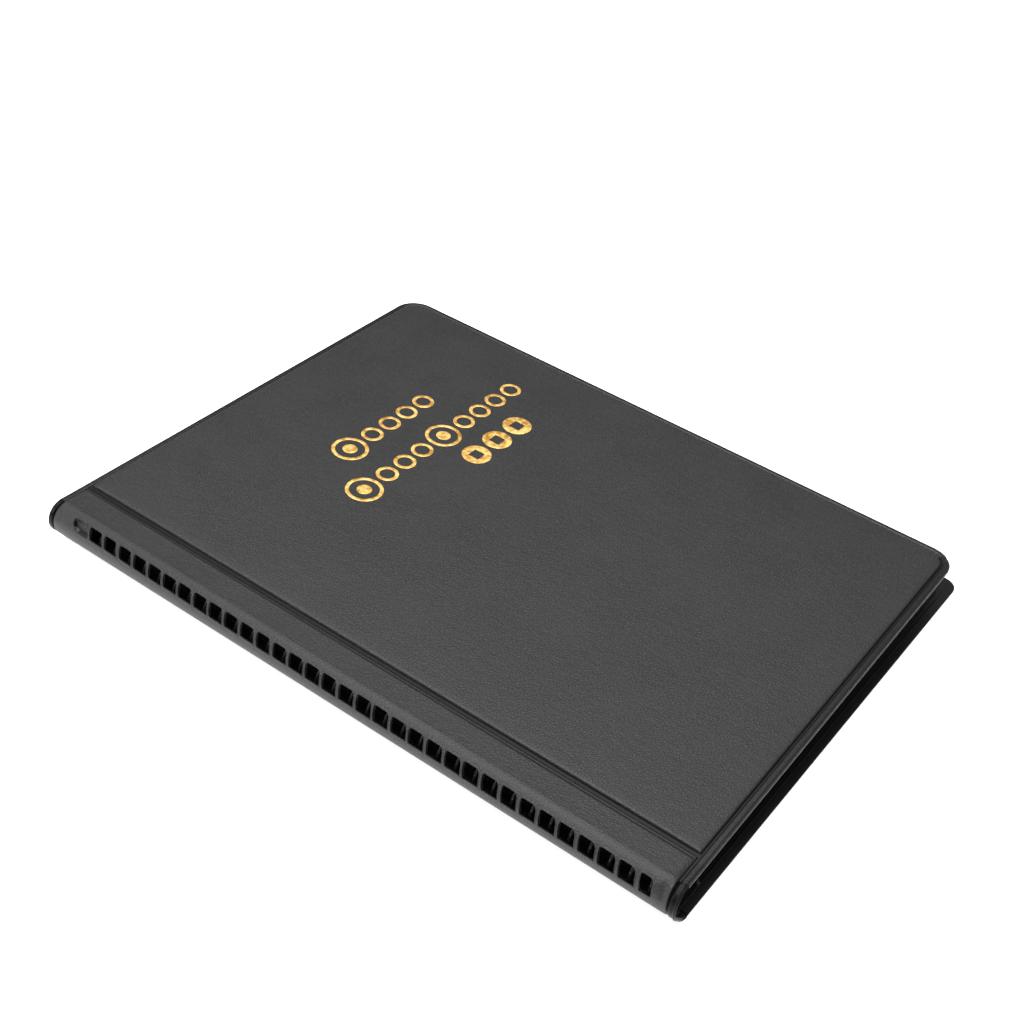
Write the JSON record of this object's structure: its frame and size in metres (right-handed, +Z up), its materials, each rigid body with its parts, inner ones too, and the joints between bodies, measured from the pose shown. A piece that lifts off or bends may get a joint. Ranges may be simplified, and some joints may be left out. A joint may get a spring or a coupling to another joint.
{
  "type": "coin album",
  "caption": "Closed portrait coin album with a padded vinyl cover, a rounded spine punched with a row of windows, a ring comb behind them and hinged pocket leaves.",
  "frame": {"origin": "middle of the closed album's footprint, on the surface that its back cover lies on", "axes": "+X from the spine to the fore edge, +Y from foot to head, +Z up through the front cover"},
  "size_m": [0.1967, 0.2338, 0.0197],
  "materials": {
    "vinyl": "satin black leather-grain vinyl",
    "lining_film": "matt black vinyl film",
    "foam": "closed-cell foam sheet",
    "grey_board": "pressed grey board",
    "comb_plastic": "black glossy plastic",
    "gold_foil": "hot-stamped gold foil",
    "pocket_film": "clear soft vinyl film",
    "dark_sheet": "matt black card"
  },
  "bodies": {
    "back_cover": {"back_cover_skin": "vinyl", "back_cover_foam": "foam", "back_cover_board": "grey_board", "back_cover_lining": "lining_film", "binding_comb": "comb_plastic", "binding_flap": "lining_film"},
    "spine": {"spine_strip": "vinyl"},
    "front_cover": {"front_cover_skin": "vinyl", "front_cover_foam": "foam", "front_cover_board": "grey_board", "front_cover_lining": "lining_film", "cover_ornament": "gold_foil"},
    "leaf_01": {"leaf_01_front_film": "pocket_film", "leaf_01_sheet": "dark_sheet", "leaf_01_back_film": "pocket_film"},
    "leaf_02": {"leaf_02_front_film": "pocket_film", "leaf_02_sheet": "dark_sheet", "leaf_02_back_film": "pocket_film"},
    "leaf_03": {"leaf_03_front_film": "pocket_film", "leaf_03_sheet": "dark_sheet", "leaf_03_back_film": "pocket_film"},
    "leaf_04": {"leaf_04_front_film": "pocket_film", "leaf_04_sheet": "dark_sheet", "leaf_04_back_film": "pocket_film"},
    "leaf_05": {"leaf_05_front_film": "pocket_film", "leaf_05_sheet": "dark_sheet", "leaf_05_back_film": "pocket_film"},
    "leaf_06": {"leaf_06_front_film": "pocket_film", "leaf_06_sheet": "dark_sheet", "leaf_06_back_film": "pocket_film"},
    "leaf_07": {"leaf_07_front_film": "pocket_film", "leaf_07_sheet": "dark_sheet", "leaf_07_back_film": "pocket_film"},
    "leaf_08": {"leaf_08_front_film": "pocket_film", "leaf_08_sheet": "dark_sheet", "leaf_08_back_film": "pocket_film"},
    "leaf_09": {"leaf_09_front_film": "pocket_film", "leaf_09_sheet": "dark_sheet", "leaf_09_back_film": "pocket_film"},
    "leaf_10": {"leaf_10_front_film": "pocket_film", "leaf_10_sheet": "dark_sheet", "leaf_10_back_film": "pocket_film"}
  },
  "joints": [
    {"name": "front_cover_open", "type": "hinge", "parent": "spine", "child": "front_cover", "pos_m": [-0.09265, 0, 0.0146], "axis": [0, -1, 0], "range_deg": [0, 99.5]},
    {"name": "spine_fold", "type": "hinge", "parent": "back_cover", "child": "spine", "pos_m": [-0.08974, 0, 0], "axis": [0, -1, 0], "range_deg": [0, 78.7]},
    {"name": "leaf_01_turn", "type": "hinge", "parent": "back_cover", "child": "leaf_01", "pos_m": [-0.09065, 0, 0.008], "axis": [0, -1, 0], "range_deg": [0, 163.6]},
    {"name": "leaf_02_turn", "type": "hinge", "parent": "back_cover", "child": "leaf_02", "pos_m": [-0.09065, 0, 0.008], "axis": [0, -1, 0], "range_deg": [0, 147.2]},
    {"name": "leaf_03_turn", "type": "hinge", "parent": "back_cover", "child": "leaf_03", "pos_m": [-0.09065, 0, 0.008], "axis": [0, -1, 0], "range_deg": [0, 130.8]},
    {"name": "leaf_04_turn", "type": "hinge", "parent": "back_cover", "child": "leaf_04", "pos_m": [-0.09065, 0, 0.008], "axis": [0, -1, 0], "range_deg": [0, 114.4]},
    {"name": "leaf_05_turn", "type": "hinge", "parent": "back_cover", "child": "leaf_05", "pos_m": [-0.09065, 0, 0.008], "axis": [0, -1, 0], "range_deg": [0, 98]},
    {"name": "leaf_06_turn", "type": "hinge", "parent": "back_cover", "child": "leaf_06", "pos_m": [-0.09065, 0, 0.008], "axis": [0, -1, 0], "range_deg": [0, 81.6]},
    {"name": "leaf_07_turn", "type": "hinge", "parent": "back_cover", "child": "leaf_07", "pos_m": [-0.09065, 0, 0.008], "axis": [0, -1, 0], "range_deg": [0, 65.2]},
    {"name": "leaf_08_turn", "type": "hinge", "parent": "back_cover", "child": "leaf_08", "pos_m": [-0.09065, 0, 0.008], "axis": [0, -1, 0], "range_deg": [0, 48.8]},
    {"name": "leaf_09_turn", "type": "hinge", "parent": "back_cover", "child": "leaf_09", "pos_m": [-0.09065, 0, 0.008], "axis": [0, -1, 0], "range_deg": [0, 32.4]},
    {"name": "leaf_10_turn", "type": "hinge", "parent": "back_cover", "child": "leaf_10", "pos_m": [-0.09065, 0, 0.008], "axis": [0, -1, 0], "range_deg": [0, 16]}
  ],
  "couplings": [
    {"joint": "spine_fold", "follows": "front_cover_open", "ratio": 0.79095},
    {"joint": "leaf_01_turn", "follows": "front_cover_open", "ratio": 1.6442},
    {"joint": "leaf_02_turn", "follows": "front_cover_open", "ratio": 1.4794},
    {"joint": "leaf_03_turn", "follows": "front_cover_open", "ratio": 1.3146},
    {"joint": "leaf_04_turn", "follows": "front_cover_open", "ratio": 1.1497},
    {"joint": "leaf_05_turn", "follows": "front_cover_open", "ratio": 0.98492},
    {"joint": "leaf_06_turn", "follows": "front_cover_open", "ratio": 0.8201},
    {"joint": "leaf_07_turn", "follows": "front_cover_open", "ratio": 0.65528},
    {"joint": "leaf_08_turn", "follows": "front_cover_open", "ratio": 0.49045},
    {"joint": "leaf_09_turn", "follows": "front_cover_open", "ratio": 0.32563},
    {"joint": "leaf_10_turn", "follows": "front_cover_open", "ratio": 0.1608}
  ]
}
